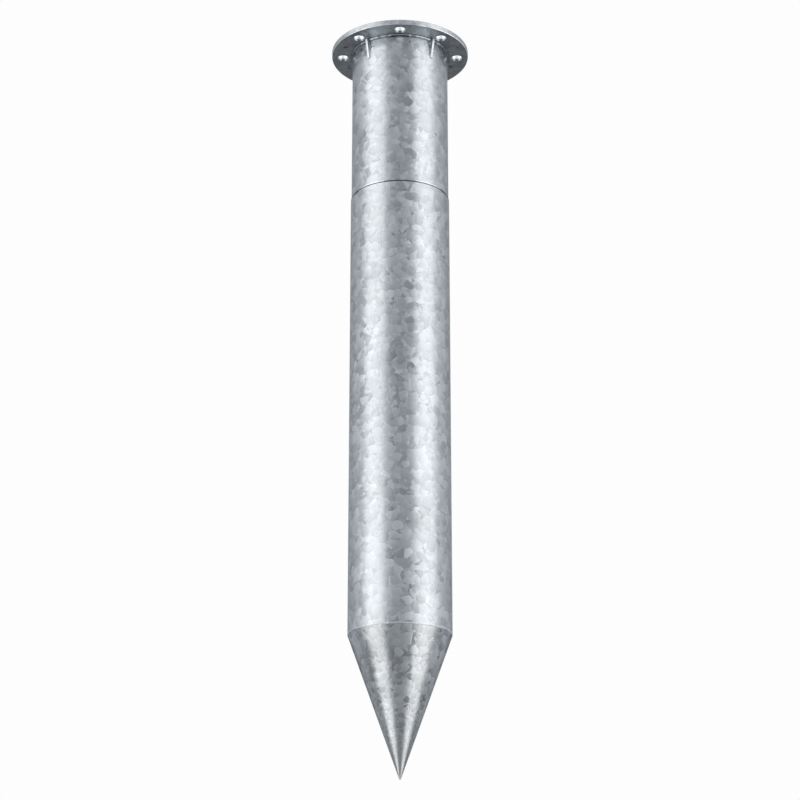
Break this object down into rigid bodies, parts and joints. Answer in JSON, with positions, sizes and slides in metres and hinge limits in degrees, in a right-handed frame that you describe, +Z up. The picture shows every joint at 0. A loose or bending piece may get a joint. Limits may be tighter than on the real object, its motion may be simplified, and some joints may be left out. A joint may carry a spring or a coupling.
{
  "type": "driven pile",
  "caption": "Round steel driven pile, hot-dip galvanised: a closed tube with a hollow conical point and a ribbed bolting flange on its head",
  "frame": {"origin": "on the axis at the upper end of the shaft tube, where it meets the head tube", "axes": "+Z up the pile's axis towards the flange, the point down; -Y is the side the picture shows, with a bolt hole in the middle and a rib to each side; +X to its right"},
  "size_m": [0.31, 0.31, 1.664],
  "materials": {
    "zinc_flange": "hot-dip zinc, fine dull spangle",
    "zinc_head": "hot-dip zinc, bright spangle",
    "zinc_shaft": "hot-dip zinc, bright spangle",
    "zinc_point": "hot-dip zinc, coarse spangle",
    "zinc_rib": "hot-dip zinc, smooth",
    "zinc_weld": "hot-dip zinc over weld ripples",
    "zinc_seam": "dull zinc in the bottom of a groove"
  },
  "bodies": {
    "root": {"flange_plate": "zinc_flange", "head_tube": "zinc_head", "shaft_tube": "zinc_shaft", "driving_point": "zinc_point", "seam_weld": "zinc_seam", "point_weld": "zinc_weld", "rib_1": "zinc_rib", "rib_2": "zinc_rib", "rib_3": "zinc_rib", "rib_4": "zinc_rib", "flange_weld_1": "zinc_weld", "flange_weld_2": "zinc_weld", "flange_weld_3": "zinc_weld", "flange_weld_4": "zinc_weld", "rib_1_weld_left": "zinc_weld", "rib_1_weld_right": "zinc_weld", "rib_2_weld_left": "zinc_weld", "rib_2_weld_right": "zinc_weld", "rib_3_weld_left": "zinc_weld", "rib_3_weld_right": "zinc_weld", "rib_4_weld_left": "zinc_weld", "rib_4_weld_right": "zinc_weld"}
  },
  "joints": []
}
